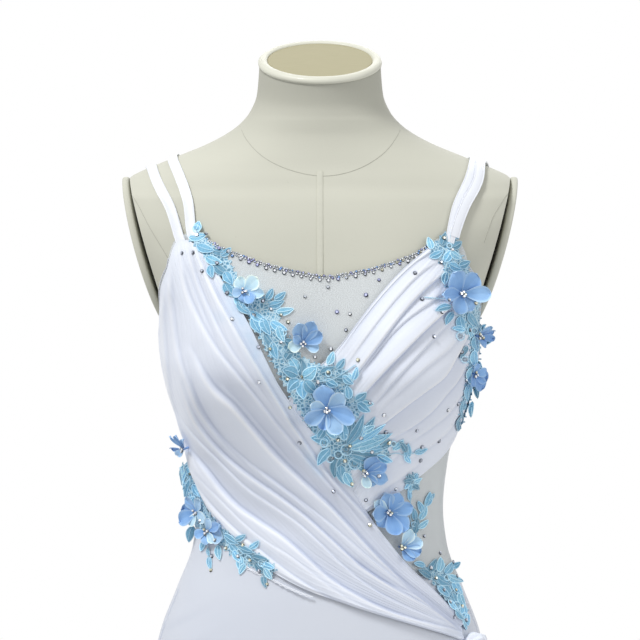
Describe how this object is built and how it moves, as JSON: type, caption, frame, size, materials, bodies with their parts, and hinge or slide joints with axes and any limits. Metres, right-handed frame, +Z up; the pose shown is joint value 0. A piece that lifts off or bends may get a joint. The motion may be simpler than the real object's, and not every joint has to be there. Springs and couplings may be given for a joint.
{
  "type": "lyrical dance dress on a limbless dress form with a stand",
  "caption": "Asymmetric dance dress with crossed pleated drapes, mesh bodice, lace and fabric flowers, worn by a limbless dress form on a round stand.",
  "frame": {"origin": "middle of the stand base underside, on the floor", "axes": "+Z up along the stand pole, the front of the dress faces -Y, +X is the side of the hip knot"},
  "size_m": [0.5606, 0.4755, 1.5284],
  "materials": {
    "linen": "plain bone-coloured cover cloth, stretched smooth",
    "cap": "matt tan disc with a cream rim",
    "steel": "satin steel tube and plate",
    "mesh": "fine sheer stretch mesh, greyish white",
    "cloth": "soft white stretch jersey and chiffon with a cool sheen",
    "strap": "white satin elastic",
    "lace": "turquoise corded lace",
    "petal": "periwinkle organza petals",
    "stone": "clear and pale blue cut glass stones"
  },
  "bodies": {
    "root": {"form_torso": "linen", "form_arm_plate_left": "linen", "form_arm_plate_right": "linen", "form_neck_cap": "cap", "stand_base": "steel", "stand_pole": "steel", "front_mesh": "mesh", "back_bodice": "cloth", "skirt_front": "cloth", "skirt_back": "cloth", "bust_drape": "cloth", "long_drape": "cloth", "hip_knot": "cloth", "tail_front": "cloth", "tail_side": "cloth", "strap_left_outer": "strap", "strap_left_inner": "strap", "strap_right_under": "strap", "strap_right_over": "strap", "lace_strap_left": "lace", "lace_neck_left": "lace", "lace_neck_low": "lace", "lace_chest_upper": "lace", "lace_chest_lower": "lace", "lace_chest_star": "lace", "lace_bud_upper": "lace", "lace_bud_lower": "lace", "lace_fan": "lace", "lace_sprig": "lace", "lace_rosette": "lace", "lace_twig": "lace", "lace_hip_upper": "lace", "lace_hip_lower": "lace", "lace_strap_right": "lace", "lace_bust_upper": "lace", "lace_bust_side": "lace", "lace_bust_low": "lace", "lace_armhole": "lace", "lace_left_side": "lace", "lace_left_hip": "lace", "lace_edge_upper": "lace", "lace_edge_lower": "lace", "flower_neck": "petal", "flower_chest": "petal", "flower_middle": "petal", "flower_waist_small": "petal", "flower_waist": "petal", "flower_hip": "petal", "flower_bust": "petal", "flower_arm": "petal", "flower_side": "petal", "flower_left_side": "petal", "flower_left_waist": "petal", "flower_left_hip": "petal"}
  },
  "joints": []
}
